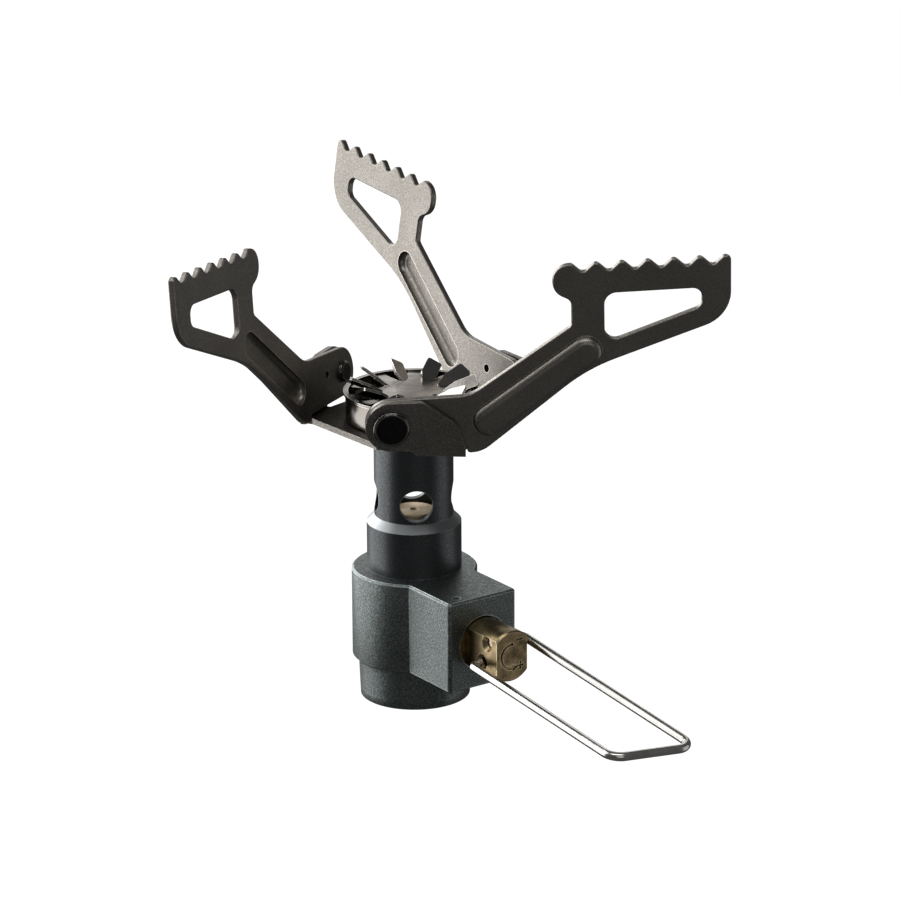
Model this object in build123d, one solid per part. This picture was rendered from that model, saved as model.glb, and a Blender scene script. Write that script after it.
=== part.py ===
from build123d import *
import math
import os

# Canister-top camping stove. All lengths are in millimetres.
# Origin: centre of the canister socket's mouth. +Z is up the mixing tube.
# The valve block, spindle and handle point along -Y.

# Valve body
COLLAR_RADIUS_BOTTOM = 9.85
COLLAR_RADIUS_TOP = 10.15
COLLAR_HEIGHT = 7.4
BARREL_RADIUS = 11.25
BARREL_TOP = 24.1
BODY_CHAMFER = 0.35
BLOCK_WIDTH = 14.5
BLOCK_FRONT = 20.9
BLOCK_CORNER_RADIUS = 0.65
BLOCK_BLEND_RADIUS = 0.6
BOSS_RADIUS = 6.0
BOSS_TOP = 29.1

# Canister socket: 7/16-28 UNEF thread, drawn as a plain bore at its tapping size, with a relief behind it
SOCKET_RADIUS = 5.15
SOCKET_THREAD_END = 5.2
SOCKET_RELIEF_RADIUS = 5.7
SOCKET_DEPTH = 9.5
SOCKET_CHAMFER = 0.5
SEAL_GROOVE_INNER = 2.9
SEAL_GROOVE_OUTER = 4.9
SEAL_GROOVE_DEPTH = 1.0
SEAL_RING_RADIUS = 3.9
SEAL_CORD_RADIUS = 0.9

# Gas path
OPENER_RADIUS = 1.5
OPENER_BOTTOM = 5.6
OPENER_TOP = 11.8
OPENER_BORE_RADIUS = 0.6
OPENER_SLOT_WIDTH = 0.7
OPENER_SLOT_HEIGHT = 1.2
FILTER_THICKNESS = 0.6
INLET_RADIUS = 0.8
INLET_END_BACK = 6.2
INLET_END_HEIGHT = 14.6
SEAT_RADIUS = 0.75
OUTLET_RADIUS = 1.2

# Valve spindle, measured outward along -Y from the mixing tube's axis
VALVE_HEIGHT = 15.6
CHAMBER_RADIUS = 2.6
CHAMBER_START = 4.5
THREAD_RADIUS = 3.0
THREAD_START = 8.2
THREAD_END = 13.2
RUNNING_GAP = 0.05
JOURNAL_RADIUS = 4.55
JOURNAL_END = 20.0
BORE_STEP = 12.6
MOUTH_RADIUS = 4.95
MOUTH_DEPTH = 1.3
HEAD_RADIUS = 4.7
HEAD_END = 29.6
FLAT_OFFSET = 3.3
FLAT_START = 20.2
RING_GROOVE_RADIUS = 3.1
RING_GROOVE_START = 14.0
RING_GROOVE_END = 15.6
PIN_GROOVE_RADIUS = 3.25
PIN_GROOVE_START = 16.3
PIN_GROOVE_END = 19.6
NEEDLE_ROOT_RADIUS = 1.5
NEEDLE_ROOT = 6.5
NEEDLE_TIP_RADIUS = 0.19
NEEDLE_TIP = 3.3
RING_SEAL_RADIUS = 3.85
RING_SEAL_CORD = 0.7
ENGRAVING_DEPTH = 0.25
ENGRAVING_WIDTH = 0.5
ARROW_RADIUS = 2.5

# Retaining pin that stands in the block beside the spindle
PIN_RADIUS = 0.75
PIN_SIDE = -4.1
PIN_BACK = 18.7
PIN_TOP = 23.2
PIN_BOTTOM = 9.0

# Wire handle: pivot holes are offset so that the bent wire springs to its resting places
WIRE_RADIUS = 0.8
PIVOT_HOLE_RADIUS = 0.86
COUNTERSINK_RADIUS = 1.45
LOW_HOLE_BACK = 25.3
LOW_HOLE_HEIGHT = 14.0
HIGH_HOLE_BACK = 26.7
HIGH_HOLE_HEIGHT = 17.7
STUB_TIP = -2.4
OPEN_STUB_TIP = 3.55
LEG_ROOT = 4.4
OPEN_LEG_ROOT = 5.4
OPEN_LEG_HEIGHT = 13.65
LEG_BEND_RADIUS = 1.2
OPEN_BEND_RADIUS = 0.8
BAR_HALF_WIDTH = 8.0
BAR_BEND_RADIUS = 2.6
LOW_BAR_BACK = 69.4
LOW_BAR_HEIGHT = 11.4
HIGH_BAR_BACK = 71.4
HIGH_BAR_HEIGHT = 10.3

# Mixing tube
TUBE_RADIUS = 7.1
TUBE_BORE_RADIUS = 5.9
TUBE_COLLAR_RADIUS = 8.47
TUBE_COLLAR_TOP = 32.6
TUBE_CHAMFER_TOP = 34.0
AIR_HOLE_RADIUS = 2.9
AIR_HOLE_HEIGHT = 37.4
AIR_HOLE_COUNT = 4
AIR_HOLE_ANGLE = -121
SPIGOT_RADIUS = 6.3

# Jet
JET_ACROSS_FLATS = 7.6
JET_TOP = 34.6
JET_CROWN_RADIUS = 3.75
JET_CROWN_HEIGHT = 0.5
JET_SHANK_RADIUS = 2.5
JET_SHANK_BOTTOM = 25.6
JET_ORIFICE_RADIUS = 0.2
JET_DIMPLE_RADIUS = 0.8

# Bracket
PLATE_BOTTOM = 50.6
SHEET = 1.1
PLATE_TOP = PLATE_BOTTOM + SHEET
EAR_EDGE = 17.7
PLATE_STEP = 16.2
PLATE_NEAR_CORNER = (-7.7, 13.9)
EAR_BASE_START = 4.45
EAR_BASE_END = 13.0
EAR_BASE_DEPTH = 6.04
EAR_NEAR_DEPTH = 5.5
TONGUE_INSET = 1.2
HUB_RADIUS = 4.5
EAR_INNER_FACE = 1.7

# Pot support pivots: each support lies in a plane beside the burner that leans out a little
SUPPORT_COUNT = 3
FIRST_SUPPORT_ANGLE = -30
PIVOT_BACK = 5.45
PIVOT_OFFSET = 16.4
PIVOT_HEIGHT = 56.6
SUPPORT_LEAN = 6.2
SUPPORT_TILTS = (1.6, 3.8, 4.8)

# Pot support blade, in its own plane with the pivot at (0, 0)
SUPPORT_THICKNESS = 1.2
SUPPORT_HUB_RADIUS = 4.4
SUPPORT_HOLE_RADIUS = 1.65
DETENT_HOLE = (6.2, 0.6)
DETENT_HOLE_RADIUS = 0.75
BLADE_END = 59.65
BLADE_TOP = 28.0
BLADE_EDGE_RADIUS = 0.25
TOOTH_COUNT = 7
TOOTH_PITCH = 4.5
FIRST_TOOTH = 31.75
TOOTH_FLANK_ANGLE = 43
TOOTH_TIP_RADIUS = 0.8
GULLET_RADIUS = 1.0
RIB_CENTRE = (25.7, 5.65)
RIB_ANGLE = 35
RIB_LENGTH = 26.5
RIB_WIDTH = 5.8
RIB_HEIGHT = 1.3
RIB_ROUNDING = 1.25
RIB_WALL = 0.6
GROOVE_ROUNDING = 1.0

# Rivets and washers
RIVET_RADIUS = 1.6
RIVET_HEAD_RADIUS = 3.2
RIVET_HEAD_HEIGHT = 1.1
RIVET_TAIL_RADIUS = 1.95
RIVET_TAIL_HEIGHT = 0.7
SIDE_GAP = 0.1
WASHER_RADIUS = 3.4
WASHER_BORE = 1.7
WASHER_THICKNESS = 0.3

# Burner
CUP_RADIUS = 12.0
CUP_TOP = 57.0
CUP_WALL = 0.5
CUP_LIP = 0.35
SPIGOT_TOP = 52.9
SPIGOT_FLARE = 0.6
MESH_HEIGHT = 54.2
MESH_THICKNESS = 0.4
MESH_HOLE_RADIUS = 0.6
MESH_RINGS = ((4.0, 8), (7.0, 14), (10.0, 20))
FLAME_PLATE_BOTTOM = 56.2
FLAME_PLATE_THICKNESS = 0.5
FLAME_DISC_RADIUS = 6.0
BLADE_COUNT = 10
FLAME_BLADE_PITCH = 360 / BLADE_COUNT
FLAME_BLADE_START_ANGLE = -36.6
FLAME_BLADE_ROOT = 5.6
FLAME_BLADE_LENGTH = 6.3
FLAME_BLADE_RISE = 22
FLAME_BLADE_TWIST = 31
FLAME_BLADE_ROOT_HALF = 0.5
FLAME_BLADE_TIP_HALF = 1.4
FLAME_BLADE_SHOULDER = 2.4
FLAME_BLADE_ROUNDING = 0.5
SPOKE_TIP_RADIUS = 11.4
SPOKE_ROOT_HALF = 1.3
SPOKE_TIP_HALF = 1.2


def cylinder(radius, bottom, top):
    return Pos(0, 0, bottom) * Cylinder(radius, top - bottom, align=(Align.CENTER, Align.CENTER, Align.MIN))


def cone(bottom_radius, top_radius, bottom, top):
    solid = Cone(bottom_radius, top_radius, top - bottom, align=(Align.CENTER, Align.CENTER, Align.MIN))
    return Pos(0, 0, bottom) * solid


def valve_axis():
    # Frame whose Z runs outward along the spindle, measured from the mixing tube's axis
    return Plane(origin=(0, 0, VALVE_HEIGHT), x_dir=(1, 0, 0), z_dir=(0, -1, 0)).location


def support_angle(index):
    return FIRST_SUPPORT_ANGLE + index * 360 / SUPPORT_COUNT


def support_frame(index):
    # Frame in a support's plane: X outward, Y up the leaning plane, Z away from the burner
    angle = math.radians(support_angle(index))
    lean = math.radians(SUPPORT_LEAN)
    outward = Vector(math.cos(angle), math.sin(angle), 0)
    sideways = Vector(math.sin(angle), -math.cos(angle), 0)
    origin = sideways * PIVOT_OFFSET - outward * PIVOT_BACK + Vector(0, 0, PIVOT_HEIGHT)
    normal = sideways * math.cos(lean) - Vector(0, 0, math.sin(lean))
    return Plane(origin=origin, x_dir=outward, z_dir=normal).location


def body_outline():
    # Round barrel with the square spindle block blended into its front
    block = Pos(0, -BLOCK_FRONT / 2) * Rectangle(BLOCK_WIDTH, BLOCK_FRONT)
    outline = Circle(BARREL_RADIUS) + block
    barrel_depth = math.sqrt(BARREL_RADIUS**2 - (BLOCK_WIDTH / 2) ** 2)
    for side in (-1, 1):
        inner_corner = (side * BLOCK_WIDTH / 2, -barrel_depth)
        outline = fillet(outline.vertices().sort_by_distance(inner_corner)[0], BLOCK_BLEND_RADIUS)
        front_corner = (side * BLOCK_WIDTH / 2, -BLOCK_FRONT)
        outline = fillet(outline.vertices().sort_by_distance(front_corner)[0], BLOCK_CORNER_RADIUS)
    return outline


def valve_body():
    outline = body_outline()
    shell = Pos(0, 0, COLLAR_HEIGHT) * extrude(outline, BARREL_TOP - COLLAR_HEIGHT)
    shell = chamfer(shell.faces().sort_by(Axis.Z)[-1].edges(), BODY_CHAMFER)
    shell = chamfer(shell.faces().sort_by(Axis.Z)[0].edges(), BODY_CHAMFER)
    collar = cone(COLLAR_RADIUS_BOTTOM, COLLAR_RADIUS_TOP, 0, COLLAR_HEIGHT)
    body = shell + collar + cylinder(BOSS_RADIUS, BARREL_TOP, BOSS_TOP)
    return body - canister_socket() - gas_passages() - spindle_bore() - pin_hole()


def canister_socket():
    bore = cylinder(SOCKET_RADIUS, 0, SOCKET_THREAD_END)
    relief = cylinder(SOCKET_RELIEF_RADIUS, SOCKET_THREAD_END, SOCKET_DEPTH)
    entry = cone(SOCKET_RADIUS + SOCKET_CHAMFER, SOCKET_RADIUS, 0, SOCKET_CHAMFER)
    groove_top = SOCKET_DEPTH + SEAL_GROOVE_DEPTH
    groove = cylinder(SEAL_GROOVE_OUTER, SOCKET_DEPTH, groove_top)
    groove -= cylinder(SEAL_GROOVE_INNER, SOCKET_DEPTH, groove_top)
    return bore + entry + relief + groove


def gas_passages():
    opener_hole = cylinder(OPENER_RADIUS, SOCKET_DEPTH, OPENER_TOP + FILTER_THICKNESS)
    start = Vector(0, 0, OPENER_TOP + FILTER_THICKNESS / 2)
    end = Vector(0, -INLET_END_BACK, INLET_END_HEIGHT)
    slope = Plane(origin=start, z_dir=end - start).location
    inlet = slope * cylinder(INLET_RADIUS, 0, (end - start).length)
    outlet = cylinder(OUTLET_RADIUS, VALVE_HEIGHT - SEAT_RADIUS, BOSS_TOP)
    jet_seat = cylinder(JET_SHANK_RADIUS, JET_SHANK_BOTTOM, BOSS_TOP)
    return opener_hole + inlet + outlet + jet_seat


def spindle_bore():
    seat = cylinder(SEAT_RADIUS, 0, CHAMBER_START)
    chamber = cylinder(CHAMBER_RADIUS, CHAMBER_START, THREAD_START)
    thread = cylinder(THREAD_RADIUS + RUNNING_GAP, THREAD_START - 0.5, BORE_STEP)
    journal = cylinder(JOURNAL_RADIUS + RUNNING_GAP, BORE_STEP, BLOCK_FRONT)
    mouth = cylinder(MOUTH_RADIUS, BLOCK_FRONT - MOUTH_DEPTH, BLOCK_FRONT)
    return valve_axis() * (seat + chamber + thread + journal + mouth)


def pin_hole():
    return Pos(PIN_SIDE, -PIN_BACK, 0) * cylinder(PIN_RADIUS, PIN_BOTTOM, BARREL_TOP)


def canister_seal():
    return Pos(0, 0, SOCKET_DEPTH + SEAL_GROOVE_DEPTH - SEAL_CORD_RADIUS) * Torus(
        SEAL_RING_RADIUS, SEAL_CORD_RADIUS
    )


def opener_pin():
    pin = cylinder(OPENER_RADIUS, OPENER_BOTTOM, OPENER_TOP)
    pin = chamfer(pin.edges().sort_by(Axis.Z)[0], 0.4)
    slot = Pos(0, 0, OPENER_BOTTOM) * Box(
        2 * OPENER_RADIUS, OPENER_SLOT_WIDTH, OPENER_SLOT_HEIGHT,
        align=(Align.CENTER, Align.CENTER, Align.MIN),
    )
    return pin - cylinder(OPENER_BORE_RADIUS, OPENER_BOTTOM, OPENER_TOP) - slot


def inlet_filter():
    return cylinder(OPENER_RADIUS, OPENER_TOP, OPENER_TOP + FILTER_THICKNESS) - inlet_relief()


def inlet_relief():
    # Room for the sloping gas passage that starts inside the filter's thickness
    return cylinder(INLET_RADIUS + 0.1, OPENER_TOP + FILTER_THICKNESS / 3, OPENER_TOP + FILTER_THICKNESS)


def retaining_pin():
    return Pos(PIN_SIDE, -PIN_BACK, 0) * cylinder(PIN_RADIUS, PIN_BOTTOM, PIN_TOP)


def jet():
    radius = JET_ACROSS_FLATS / math.sqrt(3)
    hexagon = extrude(RegularPolygon(radius, 6), JET_TOP - JET_CROWN_HEIGHT - BOSS_TOP)
    body = Pos(0, 0, BOSS_TOP) * hexagon
    body &= cylinder(radius - 0.25, BOSS_TOP, JET_TOP)
    body += cylinder(JET_CROWN_RADIUS, JET_TOP - JET_CROWN_HEIGHT, JET_TOP)
    body += cylinder(JET_SHANK_RADIUS, JET_SHANK_BOTTOM, BOSS_TOP)
    body -= cylinder(OUTLET_RADIUS, JET_SHANK_BOTTOM, JET_TOP - 2 * JET_CROWN_HEIGHT)
    body -= cylinder(JET_ORIFICE_RADIUS, JET_SHANK_BOTTOM, JET_TOP)
    return body - cone(JET_ORIFICE_RADIUS, JET_DIMPLE_RADIUS, JET_TOP - JET_CROWN_HEIGHT, JET_TOP)


def mixing_tube():
    tube = cylinder(TUBE_COLLAR_RADIUS, BARREL_TOP, TUBE_COLLAR_TOP)
    tube += cone(TUBE_COLLAR_RADIUS, TUBE_RADIUS, TUBE_COLLAR_TOP, TUBE_CHAMFER_TOP)
    tube += cylinder(TUBE_RADIUS, TUBE_CHAMFER_TOP, PLATE_BOTTOM)
    tube += cylinder(SPIGOT_RADIUS, PLATE_BOTTOM, SPIGOT_TOP)
    tube += cone(SPIGOT_RADIUS, SPIGOT_RADIUS + SPIGOT_FLARE, PLATE_TOP + CUP_WALL, SPIGOT_TOP)
    tube -= cylinder(BOSS_RADIUS, BARREL_TOP, BOSS_TOP)
    tube -= cylinder(TUBE_BORE_RADIUS, BOSS_TOP, SPIGOT_TOP)
    for index in range(AIR_HOLE_COUNT):
        turn = Rot(0, 0, AIR_HOLE_ANGLE + index * 360 / AIR_HOLE_COUNT)
        drill = Rot(0, 90, 0) * cylinder(AIR_HOLE_RADIUS, 0, TUBE_COLLAR_RADIUS + 1)
        tube -= turn * Pos(0, 0, AIR_HOLE_HEIGHT) * drill
    return tube


def plate_outline():
    points = []
    for index in range(SUPPORT_COUNT):
        angle = math.radians(support_angle(index))
        outward = Vector(math.cos(angle), math.sin(angle), 0)
        sideways = Vector(math.sin(angle), -math.cos(angle), 0)
        ear_start = EAR_BASE_START + TONGUE_INSET - PIVOT_BACK
        ear_end = EAR_BASE_END - PIVOT_BACK
        local = (PLATE_NEAR_CORNER, (ear_start, PLATE_STEP), (ear_start, EAR_EDGE))
        local += ((ear_end, EAR_EDGE), (ear_end, PLATE_STEP))
        points += [outward * along + sideways * across for along, across in local]
    return make_face(Polyline(points, close=True))


def ear():
    top = HUB_RADIUS
    outline = make_face(
        Polyline(
            (0, top), (5.6, top), (11.6, 0), (EAR_BASE_END, -HUB_RADIUS),
            (EAR_BASE_END, -EAR_BASE_DEPTH), (EAR_BASE_START, -EAR_NEAR_DEPTH),
            (3.4, -HUB_RADIUS), (0, -HUB_RADIUS), close=True,
        )
    )
    corners = outline.vertices()
    outline = fillet(corners.sort_by_distance((5.6, top))[0], 3.0)
    outline = fillet(outline.vertices().sort_by_distance((11.6, 0))[0], 4.0)
    face = outline + Circle(HUB_RADIUS)
    sheet = Pos(0, 0, EAR_INNER_FACE) * extrude(face, SHEET)
    return sheet - cylinder(RIVET_RADIUS, EAR_INNER_FACE, EAR_INNER_FACE + SHEET)


def burner_bracket():
    plate = Pos(0, 0, PLATE_BOTTOM) * extrude(plate_outline(), SHEET)
    plate -= cylinder(SPIGOT_RADIUS, PLATE_BOTTOM, PLATE_TOP)
    for index in range(SUPPORT_COUNT):
        plate += support_frame(index) * ear()
    return plate


def burner_cup():
    cup = cylinder(CUP_RADIUS, PLATE_TOP, CUP_TOP)
    cup = fillet(cup.edges().sort_by(Axis.Z)[0], 0.8)
    cup -= cylinder(CUP_RADIUS - CUP_WALL, PLATE_TOP + CUP_WALL, CUP_TOP)
    cup += cylinder(CUP_RADIUS + CUP_LIP, CUP_TOP - CUP_WALL, CUP_TOP) - cylinder(
        CUP_RADIUS - CUP_WALL, CUP_TOP - CUP_WALL, CUP_TOP
    )
    return cup - cylinder(SPIGOT_RADIUS, PLATE_TOP, PLATE_TOP + CUP_WALL)


def flame_mesh():
    disc = cylinder(CUP_RADIUS - CUP_WALL, MESH_HEIGHT, MESH_HEIGHT + MESH_THICKNESS)
    for ring_radius, hole_count in MESH_RINGS:
        hole = cylinder(MESH_HOLE_RADIUS, MESH_HEIGHT, MESH_HEIGHT + MESH_THICKNESS)
        disc -= PolarLocations(ring_radius, hole_count) * hole
    return disc


def flame_blade():
    # One blade in its own frame: X along the blade from its root, Z out of its face
    root = FLAME_BLADE_ROOT_HALF
    tip = FLAME_BLADE_TIP_HALF
    outline = make_face(
        Polyline(
            (0, -root), (FLAME_BLADE_SHOULDER, -tip), (FLAME_BLADE_LENGTH, -tip),
            (FLAME_BLADE_LENGTH, tip), (FLAME_BLADE_SHOULDER, tip), (0, root), close=True,
        )
    )
    outline = fillet(outline.vertices().sort_by(Axis.X)[-2:], FLAME_BLADE_ROUNDING)
    return Rot(FLAME_BLADE_TWIST, 0, 0) * extrude(outline, FLAME_PLATE_THICKNESS)


def flame_spoke():
    outline = make_face(
        Polyline(
            (FLAME_DISC_RADIUS - 1, -SPOKE_ROOT_HALF), (SPOKE_TIP_RADIUS, -SPOKE_TIP_HALF),
            (SPOKE_TIP_RADIUS, SPOKE_TIP_HALF), (FLAME_DISC_RADIUS - 1, SPOKE_ROOT_HALF), close=True,
        )
    )
    return Pos(0, 0, FLAME_PLATE_BOTTOM) * extrude(outline, FLAME_PLATE_THICKNESS)


def flame_plate():
    plate = cylinder(FLAME_DISC_RADIUS, FLAME_PLATE_BOTTOM, FLAME_PLATE_BOTTOM + FLAME_PLATE_THICKNESS)
    for index in range(BLADE_COUNT):
        angle = FLAME_BLADE_START_ANGLE + index * FLAME_BLADE_PITCH
        root = Pos(FLAME_BLADE_ROOT, 0, FLAME_PLATE_BOTTOM) * Rot(0, -FLAME_BLADE_RISE, 0)
        plate += Rot(0, 0, angle) * root * flame_blade()
        plate += Rot(0, 0, angle + FLAME_BLADE_PITCH / 2) * flame_spoke()
    return plate


def rounded_outline(corners):
    # Face with these corners, each given with the radius that rounds it
    face = make_face(Polyline([point for point, radius in corners], close=True))
    for point, radius in corners:
        if radius > 0:
            face = fillet(face.vertices().sort_by_distance(point)[0], radius)
    return face


def tooth_line():
    # Corners of the toothed edge from its outer end to the knuckle, each with its radius
    slope = math.radians(TOOTH_FLANK_ANGLE)
    tip_height = BLADE_TOP + TOOTH_TIP_RADIUS * (1 / math.cos(slope) - 1)
    gullet_height = tip_height - TOOTH_PITCH / 2 * math.tan(slope)
    last_tip = FIRST_TOOTH + (TOOTH_COUNT - 1) * TOOTH_PITCH
    corners = [((BLADE_END, tip_height - (BLADE_END - last_tip) * math.tan(slope)), 0.5)]
    for index in range(TOOTH_COUNT - 1):
        tip = last_tip - index * TOOTH_PITCH
        corners.append(((tip, tip_height), TOOTH_TIP_RADIUS))
        corners.append(((tip - TOOTH_PITCH / 2, gullet_height), GULLET_RADIUS))
    knuckle_end = FIRST_TOOTH + TOOTH_PITCH / 2 - (BLADE_TOP - gullet_height) / math.tan(slope)
    corners.append(((knuckle_end, BLADE_TOP), TOOTH_TIP_RADIUS))
    return corners


def blade_outline():
    return rounded_outline((
        ((15.85, -6.42), 5.0), ((34.6, 8.2), 30.0), ((BLADE_END, 16.66), 6.5), *tooth_line(),
        ((28.65, BLADE_TOP), 2.95), ((28.65, 22.9), 3.0), ((31.85, 21.2), 1.6), ((31.85, 16.5), 0.9),
        ((14.1, 4.5), 7.0), ((0, 4.4), 0), ((0, -4.4), 0), ((13.2, -5.1), 0.5), ((13.3, -6.42), 0.6),
    ))


def blade_window():
    return rounded_outline((
        ((37.6, 12.9), 2.0), ((54.55, 18.8), 1.5), ((54.55, 22.25), 1.7), ((37.6, 22.25), 2.1),
    ))


def rib_outline(width):
    slot = SlotOverall(RIB_LENGTH - (RIB_WIDTH - width), width)
    return Pos(RIB_CENTRE[0], RIB_CENTRE[1], 0) * Rot(0, 0, RIB_ANGLE) * slot


def support_blade():
    face = blade_outline() + Circle(SUPPORT_HUB_RADIUS) - blade_window()
    blade = extrude(face, SUPPORT_THICKNESS)
    blade = fillet(blade.edges().group_by(Axis.Z)[0] + blade.edges().group_by(Axis.Z)[-1], BLADE_EDGE_RADIUS)
    blade -= cylinder(SUPPORT_HOLE_RADIUS, 0, SUPPORT_THICKNESS)
    blade -= Pos(DETENT_HOLE[0], DETENT_HOLE[1], 0) * cylinder(DETENT_HOLE_RADIUS, 0, SUPPORT_THICKNESS)
    rib = Pos(0, 0, SUPPORT_THICKNESS) * extrude(rib_outline(RIB_WIDTH), RIB_HEIGHT)
    rib = fillet(rib.faces().sort_by(Axis.Z)[-1].edges(), RIB_ROUNDING)
    groove = extrude(rib_outline(RIB_WIDTH - 2 * RIB_WALL), RIB_HEIGHT)
    groove = fillet(groove.faces().sort_by(Axis.Z)[-1].edges(), GROOVE_ROUNDING)
    return blade + rib - groove


def pot_support(index):
    return support_frame(index) * Rot(0, 0, SUPPORT_TILTS[index]) * support_blade()


def pivot_rivet(index):
    outer_face = EAR_INNER_FACE + SHEET
    head = cylinder(RIVET_HEAD_RADIUS, outer_face, outer_face + RIVET_HEAD_HEIGHT)
    head = chamfer(head.edges().sort_by(Axis.Z)[-1], 0.35)
    shank = cylinder(RIVET_RADIUS, -SIDE_GAP, outer_face)
    tail = cylinder(RIVET_TAIL_RADIUS, -SIDE_GAP - RIVET_TAIL_HEIGHT, -SIDE_GAP)
    tail = chamfer(tail.edges().sort_by(Axis.Z)[0], 0.3)
    return support_frame(index) * (head + shank + tail)


def pivot_washer(index):
    bottom = SUPPORT_THICKNESS + SIDE_GAP
    ring = cylinder(WASHER_RADIUS, bottom, bottom + WASHER_THICKNESS)
    return support_frame(index) * (ring - cylinder(WASHER_BORE, bottom, bottom + WASHER_THICKNESS))


def spindle_head():
    head = cylinder(HEAD_RADIUS, JOURNAL_END, HEAD_END)
    head = chamfer(head.edges().sort_by(Axis.Z)[-1], 0.3)
    side = Box(HEAD_RADIUS, 4 * HEAD_RADIUS, HEAD_END, align=(Align.MIN, Align.CENTER, Align.MIN))
    head -= Pos(FLAT_OFFSET, 0, FLAT_START) * side
    head -= Pos(-FLAT_OFFSET - HEAD_RADIUS, 0, FLAT_START) * side
    return head - turn_marks()


def turn_marks():
    # Arrow curved round the end face, with a minus at its start and a plus at its end
    floor = HEAD_END - ENGRAVING_DEPTH
    arc = Circle(ARROW_RADIUS) - Circle(ARROW_RADIUS - ENGRAVING_WIDTH)
    arc -= Pos(2.2, 0) * Rectangle(3.8, 8)
    tip = Pos(0.5, -2.2) * Rot(0, 0, -80) * Triangle(a=1.5, b=1.5, c=1.5)
    minus = Pos(1.5, 2.9) * Rectangle(1.3, 0.4)
    plus = Pos(1.8, -2.0) * (Rectangle(1.5, 0.4) + Rectangle(0.4, 1.5))
    marks = arc + tip + minus + plus
    return Pos(0, 0, floor) * extrude(marks, ENGRAVING_DEPTH)


def pivot_hole(back, height):
    along = Plane(origin=(0, -back, height), z_dir=(1, 0, 0)).location
    through = cylinder(PIVOT_HOLE_RADIUS, -HEAD_RADIUS, HEAD_RADIUS)
    sink_depth = COUNTERSINK_RADIUS - PIVOT_HOLE_RADIUS
    right = cone(PIVOT_HOLE_RADIUS, COUNTERSINK_RADIUS, FLAT_OFFSET - sink_depth, FLAT_OFFSET)
    left = cone(COUNTERSINK_RADIUS, PIVOT_HOLE_RADIUS, -FLAT_OFFSET, sink_depth - FLAT_OFFSET)
    return along * (through + right + left)


def valve_spindle():
    spindle = cylinder(JOURNAL_RADIUS, THREAD_END, JOURNAL_END)
    spindle -= cylinder(JOURNAL_RADIUS, RING_GROOVE_START, RING_GROOVE_END)
    spindle += cylinder(RING_GROOVE_RADIUS, RING_GROOVE_START, RING_GROOVE_END)
    spindle -= cylinder(JOURNAL_RADIUS, PIN_GROOVE_START, PIN_GROOVE_END)
    spindle += cylinder(PIN_GROOVE_RADIUS, PIN_GROOVE_START, PIN_GROOVE_END)
    spindle += cylinder(THREAD_RADIUS, THREAD_START, THREAD_END)
    spindle += cylinder(NEEDLE_ROOT_RADIUS, NEEDLE_ROOT, THREAD_START)
    spindle += cone(NEEDLE_TIP_RADIUS, NEEDLE_ROOT_RADIUS, NEEDLE_TIP, NEEDLE_ROOT)
    spindle += spindle_head()
    placed = valve_axis() * spindle
    placed -= pivot_hole(LOW_HOLE_BACK, LOW_HOLE_HEIGHT)
    return placed - pivot_hole(HIGH_HOLE_BACK, HIGH_HOLE_HEIGHT)


def spindle_seal():
    centre = (RING_GROOVE_START + RING_GROOVE_END) / 2
    return valve_axis() * Pos(0, 0, centre) * Torus(RING_SEAL_RADIUS, RING_SEAL_CORD)


def rounded_path(points, radii):
    # A line through the points with a tangent arc at each inner corner
    edges = []
    start = points[0]
    for before, corner, after, radius in zip(points, points[1:], points[2:], radii):
        back = (before - corner).normalized()
        ahead = (after - corner).normalized()
        half_angle = math.acos(back.dot(ahead)) / 2
        reach = radius / math.tan(half_angle)
        arc_start = corner + back * reach
        arc_end = corner + ahead * reach
        centre_distance = radius / math.sin(half_angle)
        middle = corner + (back + ahead).normalized() * (centre_distance - radius)
        edges.append(Line(start, arc_start))
        edges.append(ThreePointArc(arc_start, middle, arc_end))
        start = arc_end
    edges.append(Line(start, points[-1]))
    return Wire(edges)


def wire_handle():
    # The wire turns in the high hole; its other end stops just short of the low hole
    points = (
        Vector(STUB_TIP, -HIGH_HOLE_BACK, HIGH_HOLE_HEIGHT),
        Vector(LEG_ROOT, -HIGH_HOLE_BACK, HIGH_HOLE_HEIGHT),
        Vector(BAR_HALF_WIDTH, -HIGH_BAR_BACK, HIGH_BAR_HEIGHT),
        Vector(-BAR_HALF_WIDTH, -LOW_BAR_BACK, LOW_BAR_HEIGHT),
        Vector(-OPEN_LEG_ROOT, -LOW_HOLE_BACK, OPEN_LEG_HEIGHT),
        Vector(-OPEN_STUB_TIP, -LOW_HOLE_BACK, LOW_HOLE_HEIGHT),
    )
    radii = (LEG_BEND_RADIUS, BAR_BEND_RADIUS, BAR_BEND_RADIUS, OPEN_BEND_RADIUS)
    path = rounded_path(points, radii)
    profile = Plane(origin=points[0], z_dir=(1, 0, 0)) * Circle(WIRE_RADIUS)
    return sweep(profile, path=path)


os.makedirs("parts", exist_ok=True)
nodes = {
    "valve_body": valve_body(),
    "canister_seal": canister_seal(),
    "opener_pin": opener_pin(),
    "inlet_filter": inlet_filter(),
    "retaining_pin": retaining_pin(),
    "jet": jet(),
    "mixing_tube": mixing_tube(),
    "burner_bracket": burner_bracket(),
    "burner_cup": burner_cup(),
    "flame_mesh": flame_mesh(),
    "flame_plate": flame_plate(),
    "valve_spindle": valve_spindle(),
    "spindle_seal": spindle_seal(),
    "wire_handle": wire_handle(),
}
for index in range(SUPPORT_COUNT):
    nodes[f"pot_support_{index + 1}"] = pot_support(index)
    nodes[f"pivot_rivet_{index + 1}"] = pivot_rivet(index)
    nodes[f"pivot_washer_{index + 1}"] = pivot_washer(index)
for name, solid in nodes.items():
    export_step(solid, f"parts/{name}.step")
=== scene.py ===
import math

import bmesh
import bpy
from mathutils import Matrix, Vector


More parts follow.
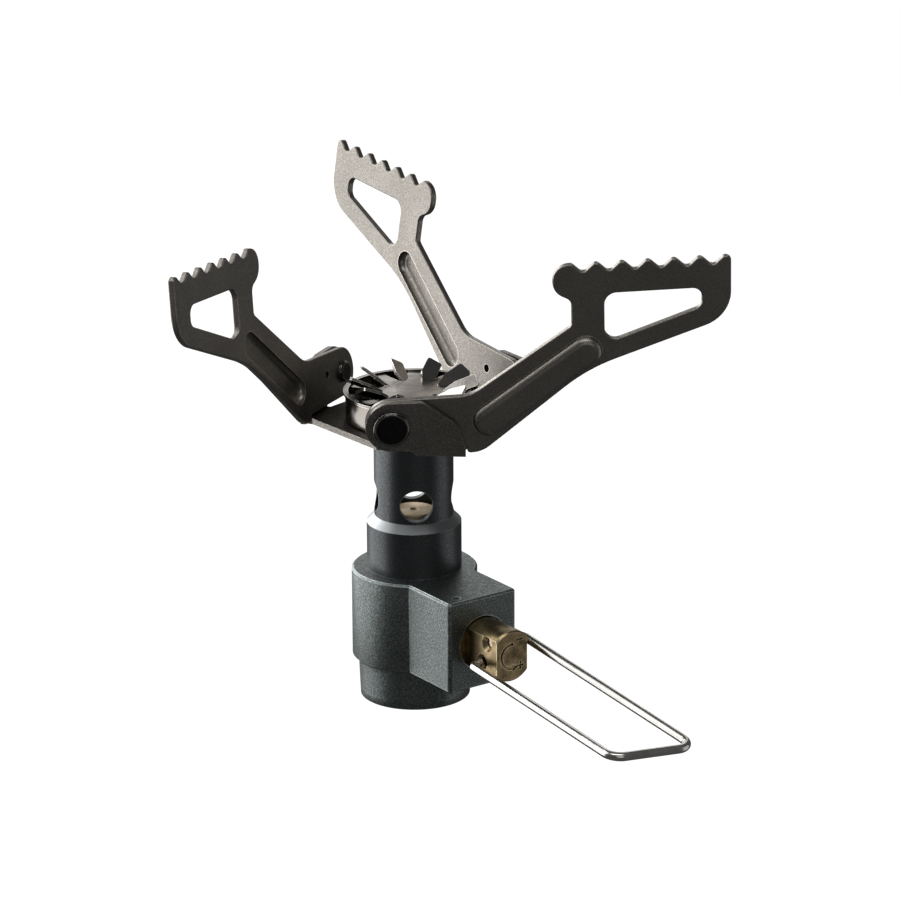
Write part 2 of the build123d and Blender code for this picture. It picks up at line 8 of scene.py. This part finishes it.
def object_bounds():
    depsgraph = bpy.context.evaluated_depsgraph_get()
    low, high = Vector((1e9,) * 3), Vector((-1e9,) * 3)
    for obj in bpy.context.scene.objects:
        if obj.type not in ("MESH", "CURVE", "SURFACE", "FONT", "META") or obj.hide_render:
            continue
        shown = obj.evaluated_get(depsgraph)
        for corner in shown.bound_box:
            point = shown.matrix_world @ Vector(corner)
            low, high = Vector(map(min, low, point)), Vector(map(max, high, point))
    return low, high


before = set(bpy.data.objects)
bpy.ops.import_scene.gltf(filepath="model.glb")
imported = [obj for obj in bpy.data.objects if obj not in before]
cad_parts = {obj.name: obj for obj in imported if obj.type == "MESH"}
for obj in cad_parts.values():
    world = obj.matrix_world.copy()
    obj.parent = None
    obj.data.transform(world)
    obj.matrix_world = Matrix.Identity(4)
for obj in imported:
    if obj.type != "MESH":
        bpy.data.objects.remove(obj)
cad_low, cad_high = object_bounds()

# Camera: direction and distance from the point it looks at, in the frame's metres and degrees
CAMERA_AZIMUTH = -35.292
CAMERA_ELEVATION = 18.599
CAMERA_ROLL = -0.323
CAMERA_DISTANCE = 0.9
CAMERA_TARGET = Vector((0.007934, 0.0, 0.044084))
SENSOR_WIDTH = 36.0
LENS = 201.67

# Studio
FLOOR_DROP = 0.06
FLOOR_SIZE = 40.0
BACKGROUND = 1.0
SURROUND = 0.09

# Rounded edges of the body, bracket, rivets and jet
BODY_EDGE = 0.00018
RIVET_EDGE = 0.0002
JET_EDGE = 0.0001
EDGE_MERGE = 1e-6
EDGE_ANGLE = math.radians(28)
EDGE_SEGMENTS = 2

# Material scales, in cycles per metre
FINE_GRAIN = 3300
SOFT_GRAIN = 900
BROAD_PATCH = 120

# Width of the pale band along edges, partly wear and partly painted highlight
WEAR_AND_SHEEN_WIDTH = 0.0003
# Width of the painted highlight along the burner's edges
PAINTED_EDGE_HIGHLIGHT_WIDTH = 0.00015

# Heights between which the mixing tube has its bare machined bevel
BEVEL_BOTTOM = 0.0326
BEVEL_TOP = 0.034
BEVEL_MARGIN = 0.00002


def new_material(name):
    material = bpy.data.materials.new(name)
    material.use_nodes = True
    tree = material.node_tree
    shader = tree.nodes["Principled BSDF"]
    return material, tree, shader


def add_node(tree, kind, **values):
    node = tree.nodes.new(kind)
    for name, value in values.items():
        setattr(node, name, value)
    return node


def object_point(tree):
    return add_node(tree, "ShaderNodeTexCoord").outputs["Object"]


def noise(tree, point, scale, detail=3.0, roughness=0.55):
    node = add_node(tree, "ShaderNodeTexNoise")
    node.inputs["Scale"].default_value = scale
    node.inputs["Detail"].default_value = detail
    node.inputs["Roughness"].default_value = roughness
    tree.links.new(point, node.inputs["Vector"])
    return node.outputs["Fac"]


def ramp(tree, value, stops):
    node = add_node(tree, "ShaderNodeValToRGB")
    elements = node.color_ramp.elements
    for index, (position, color) in enumerate(stops):
        element = elements[index] if index < 2 else elements.new(position)
        element.position = position
        element.color = (*color, 1.0)
    tree.links.new(value, node.inputs["Fac"])
    return node.outputs["Color"]


def remap(tree, value, low_in, high_in, low_out, high_out):
    node = add_node(tree, "ShaderNodeMapRange")
    node.inputs["From Min"].default_value = low_in
    node.inputs["From Max"].default_value = high_in
    node.inputs["To Min"].default_value = low_out
    node.inputs["To Max"].default_value = high_out
    tree.links.new(value, node.inputs["Value"])
    return node.outputs["Result"]


def mix(tree, factor, first, second):
    node = add_node(tree, "ShaderNodeMix", data_type="RGBA")
    tree.links.new(factor, node.inputs["Factor"])
    for value, socket in ((first, node.inputs["A"]), (second, node.inputs["B"])):
        if isinstance(value, tuple):
            socket.default_value = (*value, 1.0)
        else:
            tree.links.new(value, socket)
    return node.outputs["Result"]


def product(tree, first, second):
    node = add_node(tree, "ShaderNodeMath", operation="MULTIPLY")
    tree.links.new(first, node.inputs[0])
    tree.links.new(second, node.inputs[1])
    return node.outputs["Value"]


def edge_wear_and_sheen(tree, width=WEAR_AND_SHEEN_WIDTH):
    # 0 on open faces, rising to 1 along edges, where the rounded normal leaves the true one
    rounded = add_node(tree, "ShaderNodeBevel", samples=8)
    rounded.inputs["Radius"].default_value = width
    true_normal = add_node(tree, "ShaderNodeNewGeometry").outputs["Normal"]
    likeness = add_node(tree, "ShaderNodeVectorMath", operation="DOT_PRODUCT")
    tree.links.new(rounded.outputs["Normal"], likeness.inputs[0])
    tree.links.new(true_normal, likeness.inputs[1])
    return remap(tree, likeness.outputs["Value"], 0.995, 0.9, 0.0, 1.0)


def bump(tree, shader, height, distance, strength=1.0):
    node = add_node(tree, "ShaderNodeBump")
    node.inputs["Strength"].default_value = strength
    node.inputs["Distance"].default_value = distance
    tree.links.new(height, node.inputs["Height"])
    tree.links.new(node.outputs["Normal"], shader.inputs["Normal"])


def blasted_metal(
    name, dark, light, worn_and_sheen, roughness, grain_height, mottle, sparkle, wear_and_sheen, wear_and_sheen_width=WEAR_AND_SHEEN_WIDTH
):
    # Bead-blasted metal: mottled grain, broad tone changes, paler along its edges from wear and painted
    # highlight
    material, tree, shader = new_material(name)
    point = object_point(tree)
    grain = noise(tree, point, FINE_GRAIN, 3.0, 0.6)
    patches = noise(tree, point, BROAD_PATCH, 4.0)
    tone = ramp(tree, patches, ((0.3, dark), (0.7, light)))
    shadow = tuple(0.45 * channel for channel in dark)
    tone = mix(tree, remap(tree, grain, 0.5, 0.34, 0.0, mottle), tone, shadow)
    tone = mix(tree, remap(tree, grain, 0.52, 0.68, 0.0, sparkle), tone, worn_and_sheen)
    # Pale edge band: partly wear, partly painted highlight
    unevenness = remap(tree, noise(tree, point, SOFT_GRAIN, 4.0), 0.35, 0.6, *wear_and_sheen)
    color = mix(tree, product(tree, edge_wear_and_sheen(tree, wear_and_sheen_width), unevenness), tone, worn_and_sheen)
    tree.links.new(color, shader.inputs["Base Color"])
    shader.inputs["Metallic"].default_value = 1.0
    gloss = remap(tree, grain, 0.3, 0.7, roughness + 0.08, roughness - 0.06)
    tree.links.new(gloss, shader.inputs["Roughness"])
    bump(tree, shader, grain, grain_height)
    return material, tree, shader, color


def anodised_body():
    return blasted_metal(
        "anodised_body", (0.12, 0.139, 0.135), (0.158, 0.179, 0.174), (0.86, 0.92, 0.91),
        roughness=0.43, grain_height=0.00004, mottle=0.8, sparkle=0.16, wear_and_sheen=(0.5, 1.0),
    )[0]


def anodised_tube():
    # The bevel above the collar is cut after anodising, so it is brighter than the rest
    material, tree, shader, color = blasted_metal(
        "anodised_tube", (0.07, 0.075, 0.078), (0.09, 0.096, 0.099), (0.36, 0.38, 0.39),
        roughness=0.38, grain_height=0.000008, mottle=0.3, sparkle=0.12, wear_and_sheen=(0.25, 0.95),
    )
    place = add_node(tree, "ShaderNodeSeparateXYZ")
    tree.links.new(object_point(tree), place.inputs["Vector"])
    height = place.outputs["Z"]
    above = remap(tree, height, BEVEL_BOTTOM - BEVEL_MARGIN, BEVEL_BOTTOM + BEVEL_MARGIN, 0.0, 1.0)
    below = remap(tree, height, BEVEL_TOP - BEVEL_MARGIN, BEVEL_TOP + BEVEL_MARGIN, 1.0, 0.0)
    direction = add_node(tree, "ShaderNodeSeparateXYZ")
    tree.links.new(add_node(tree, "ShaderNodeTexCoord").outputs["Normal"], direction.inputs["Vector"])
    upward = remap(tree, direction.outputs["Z"], 0.5, 0.62, 0.0, 1.0)
    bare = product(tree, product(tree, above, below), upward)
    tree.links.new(mix(tree, bare, color, (0.29, 0.305, 0.312)), shader.inputs["Base Color"])
    return material


def titanium():
    return blasted_metal(
        "titanium", (0.205, 0.19, 0.171), (0.255, 0.237, 0.214), (0.74, 0.69, 0.62),
        roughness=0.36, grain_height=0.00002, mottle=0.4, sparkle=0.16, wear_and_sheen=(0.5, 1.0),
    )[0]


def bracket_titanium():
    # The bent bracket is dulled by the burner's heat, and its pale edge band of wear and painted highlight is
    # faint
    return blasted_metal(
        "bracket_titanium", (0.16, 0.149, 0.134), (0.20, 0.186, 0.168), (0.74, 0.69, 0.62),
        roughness=0.4, grain_height=0.00003, mottle=0.5, sparkle=0.2, wear_and_sheen=(0.0, 0.35),
    )[0]


def rivet_black():
    # The pale ring along the head's edges is a painted highlight, at full strength all round
    return blasted_metal(
        "rivet_black", (0.016, 0.016, 0.017), (0.036, 0.035, 0.034), (0.85, 0.82, 0.78),
        roughness=0.22, grain_height=0.000002, mottle=0.2, sparkle=0.02, wear_and_sheen=(1.0, 1.0), wear_and_sheen_width=0.0005,
    )[0]


def stainless():
    # Drawn wire and pins: smooth, with faint cloudy stains
    material, tree, shader = new_material("stainless")
    cloud = noise(tree, object_point(tree), 260, 3.0)
    tone = ramp(tree, cloud, ((0.35, (0.55, 0.53, 0.50)), (0.65, (0.66, 0.64, 0.61))))
    tree.links.new(tone, shader.inputs["Base Color"])
    shader.inputs["Metallic"].default_value = 1.0
    tree.links.new(remap(tree, cloud, 0.3, 0.7, 0.17, 0.24), shader.inputs["Roughness"])
    bump(tree, shader, cloud, 0.00001)
    return material


def burner_steel():
    # Stainless with a few soft straw and grey patches left by the flame, and a painted highlight along its
    # edges
    material, tree, shader = new_material("burner_steel")
    point = object_point(tree)
    heat = noise(tree, point, 160, 4.0)
    stops = ((0.36, (0.3, 0.29, 0.28)), (0.52, (0.27, 0.25, 0.22)), (0.66, (0.19, 0.18, 0.175)))
    tone = ramp(tree, heat, stops)
    # Painted highlight: near-white band along the edges
    tone = mix(tree, edge_wear_and_sheen(tree, PAINTED_EDGE_HIGHLIGHT_WIDTH), tone, (0.92, 0.90, 0.87))
    ripple = noise(tree, point, 420, 2.0)
    tree.links.new(tone, shader.inputs["Base Color"])
    shader.inputs["Metallic"].default_value = 1.0
    tree.links.new(remap(tree, heat, 0.3, 0.7, 0.16, 0.27), shader.inputs["Roughness"])
    bump(tree, shader, ripple, 0.00004)
    return material


def painted_recess_shade(tree, reach=0.0004):
    # 1 on open faces, falling to 0 inside engraved strokes and small holes, where painted shade goes
    shelter = add_node(tree, "ShaderNodeAmbientOcclusion", samples=8)
    shelter.inputs["Distance"].default_value = reach
    return remap(tree, shelter.outputs["AO"], 0.45, 0.8, 0.0, 1.0)


def brass(name, dark, light, worn_and_sheen, recess_shade_color, roughness):
    # Tarnished brass, bright along its edges, with painted shade in its engraving and small holes
    material, tree, shader = new_material(name)
    point = object_point(tree)
    tarnish = noise(tree, point, 420, 6.0, 0.65)
    grain = noise(tree, point, FINE_GRAIN / 2, 2.0)
    tone = ramp(tree, tarnish, ((0.32, dark), (0.62, light)))
    tone = mix(tree, edge_wear_and_sheen(tree), tone, worn_and_sheen)
    # Painted shade: near-black inside engraving and small holes
    tree.links.new(mix(tree, painted_recess_shade(tree), recess_shade_color, tone), shader.inputs["Base Color"])
    shader.inputs["Metallic"].default_value = 1.0
    gloss = remap(tree, tarnish, 0.3, 0.7, roughness + 0.12, roughness - 0.06)
    tree.links.new(gloss, shader.inputs["Roughness"])
    bump(tree, shader, grain, 0.00001)
    return material


def spindle_brass():
    return brass(
        "spindle_brass", (0.13, 0.097, 0.053), (0.43, 0.325, 0.18), (0.9, 0.74, 0.47),
        recess_shade_color=(0.02, 0.016, 0.011), roughness=0.31,
    )


def jet_brass():
    return brass(
        "jet_brass", (0.80, 0.65, 0.44), (0.97, 0.83, 0.62), (0.97, 0.87, 0.68),
        recess_shade_color=(0.05, 0.04, 0.025), roughness=0.6,
    )


def filter_bronze():
    # Sintered disc of small bronze beads
    material, tree, shader = new_material("filter_bronze")
    beads = add_node(tree, "ShaderNodeTexVoronoi")
    beads.inputs["Scale"].default_value = 7000
    tree.links.new(object_point(tree), beads.inputs["Vector"])
    tone = ramp(tree, beads.outputs["Distance"], ((0.1, (0.52, 0.34, 0.18)), (0.7, (0.12, 0.075, 0.04))))
    tree.links.new(tone, shader.inputs["Base Color"])
    shader.inputs["Metallic"].default_value = 1.0
    shader.inputs["Roughness"].default_value = 0.5
    bump(tree, shader, beads.outputs["Distance"], 0.00005)
    return material


def rubber():
    material, tree, shader = new_material("rubber")
    point = object_point(tree)
    grain = noise(tree, point, 3000, 3.0)
    tone = ramp(tree, grain, ((0.35, (0.012, 0.012, 0.012)), (0.65, (0.026, 0.025, 0.025))))
    tree.links.new(tone, shader.inputs["Base Color"])
    tree.links.new(remap(tree, grain, 0.3, 0.7, 0.5, 0.65), shader.inputs["Roughness"])
    bump(tree, shader, grain, 0.00001)
    return material


def round_edges(piece, width):
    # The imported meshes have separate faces, so their edges are merged before they are rounded
    weld = piece.modifiers.new("merge_edges", "WELD")
    weld.merge_threshold = EDGE_MERGE
    edge = piece.modifiers.new("rounded_edges", "BEVEL")
    edge.width = width
    edge.segments = EDGE_SEGMENTS
    edge.limit_method = "ANGLE"
    edge.angle_limit = EDGE_ANGLE
    edge.use_clamp_overlap = True
    edge.harden_normals = True


def rounding(node_name):
    # Edge radius of this piece; 0 where the part's own edges are kept
    if node_name in ("valve_body", "burner_bracket"):
        return BODY_EDGE
    if node_name.startswith("pivot_rivet"):
        return RIVET_EDGE
    if node_name == "jet":
        return JET_EDGE
    return 0.0


def finish_nodes():
    makers = (
        anodised_body, anodised_tube, titanium, bracket_titanium, rivet_black,
        stainless, burner_steel, spindle_brass, jet_brass, filter_bronze, rubber,
    )
    finishes = {make.__name__: make() for make in makers}
    for name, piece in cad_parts.items():
        if rounding(name) > 0:
            round_edges(piece, rounding(name))
        for material_slot in piece.material_slots:
            slot_name = material_slot.material.name.split(".")[0]
            if name == "burner_bracket":
                slot_name = "bracket_titanium"
            material_slot.link = "OBJECT"
            material_slot.material = finishes[slot_name]


def add_floor():
    # A pale paper floor that glows, and neither lights the stove nor shows in its metal
    material, tree, shader = new_material("floor")
    cloud = noise(tree, object_point(tree), 2.0)
    tone = ramp(tree, cloud, ((0.3, (0.12, 0.12, 0.12)), (0.7, (0.14, 0.14, 0.14))))
    tree.links.new(tone, shader.inputs["Base Color"])
    shader.inputs["Roughness"].default_value = 0.9
    shader.inputs["Specular IOR Level"].default_value = 0.0
    shader.inputs["Emission Color"].default_value = (1.0, 1.0, 1.0, 1.0)
    shader.inputs["Emission Strength"].default_value = 0.98
    mesh = bpy.data.meshes.new("floor")
    built = bmesh.new()
    bmesh.ops.create_grid(built, x_segments=1, y_segments=1, size=FLOOR_SIZE / 2)
    built.to_mesh(mesh)
    built.free()
    floor = bpy.data.objects.new("floor", mesh)
    floor.location = (0, 0, cad_low.z - FLOOR_DROP)
    mesh.materials.append(material)
    floor.visible_diffuse = False
    floor.visible_glossy = False
    bpy.context.collection.objects.link(floor)


def camera_axes():
    azimuth = math.radians(CAMERA_AZIMUTH)
    elevation = math.radians(CAMERA_ELEVATION)
    roll = math.radians(CAMERA_ROLL)
    outward = Vector((
        math.sin(azimuth) * math.cos(elevation), -math.cos(azimuth) * math.cos(elevation), math.sin(elevation)
    ))
    right = Vector((math.cos(azimuth), math.sin(azimuth), 0))
    up = outward.cross(right)
    tilted_right = math.cos(roll) * right + math.sin(roll) * up
    tilted_up = math.cos(roll) * up - math.sin(roll) * right
    return tilted_right, tilted_up, outward


def add_camera():
    right, up, outward = camera_axes()
    data = bpy.data.cameras.new("camera")
    data.lens = LENS
    data.sensor_width = SENSOR_WIDTH
    data.clip_end = 100
    camera = bpy.data.objects.new("camera", data)
    turn = Matrix((right, up, outward)).transposed().to_4x4()
    camera.matrix_world = Matrix.Translation(CAMERA_TARGET + CAMERA_DISTANCE * outward) @ turn
    bpy.context.collection.objects.link(camera)
    bpy.context.scene.camera = camera


def add_softbox(name, direction, distance, width, height, power):
    # A rectangular light that faces the object from this direction in the camera's own axes
    right, up, outward = camera_axes()
    place = (direction[0] * right + direction[1] * up + direction[2] * outward).normalized()
    data = bpy.data.lights.new(name, "AREA")
    data.shape = "RECTANGLE"
    data.size = width
    data.size_y = height
    data.energy = power
    light = bpy.data.objects.new(name, data)
    light.location = CAMERA_TARGET + place * distance
    light.rotation_euler = place.to_track_quat("Z", "Y").to_euler()
    bpy.context.collection.objects.link(light)


def add_lights():
    add_softbox("key_left", (-1.0, 0.35, -0.15), 0.5, 0.7, 1.0, 4.3)
    add_softbox("back_left", (-0.65, 0.45, -0.65), 0.55, 0.4, 0.5, 2.1)
    add_softbox("back_top", (0.1, 0.6, -0.8), 0.6, 0.4, 0.3, 0.4)
    add_softbox("overhead", (0.05, 0.66, 0.75), 0.55, 0.5, 0.2, 0.9)
    add_softbox("fill_right", (1.0, -0.1, -0.05), 0.6, 0.45, 0.6, 0.45)
    add_softbox("fill_front", (0.3, -0.15, 1.0), 0.7, 0.4, 0.3, 0.3)
    world = bpy.data.worlds.new("studio")
    world.use_nodes = True
    tree = world.node_tree
    seen = add_node(tree, "ShaderNodeLightPath").outputs["Is Camera Ray"]
    strength = remap(tree, seen, 0.0, 1.0, SURROUND, BACKGROUND)
    tree.links.new(strength, tree.nodes["Background"].inputs["Strength"])
    tree.nodes["Background"].inputs["Color"].default_value = (1.0, 1.0, 1.0, 1.0)
    bpy.context.scene.world = world
    bpy.context.scene.view_settings.view_transform = "Standard"


finish_nodes()
add_floor()
add_camera()
add_lights()
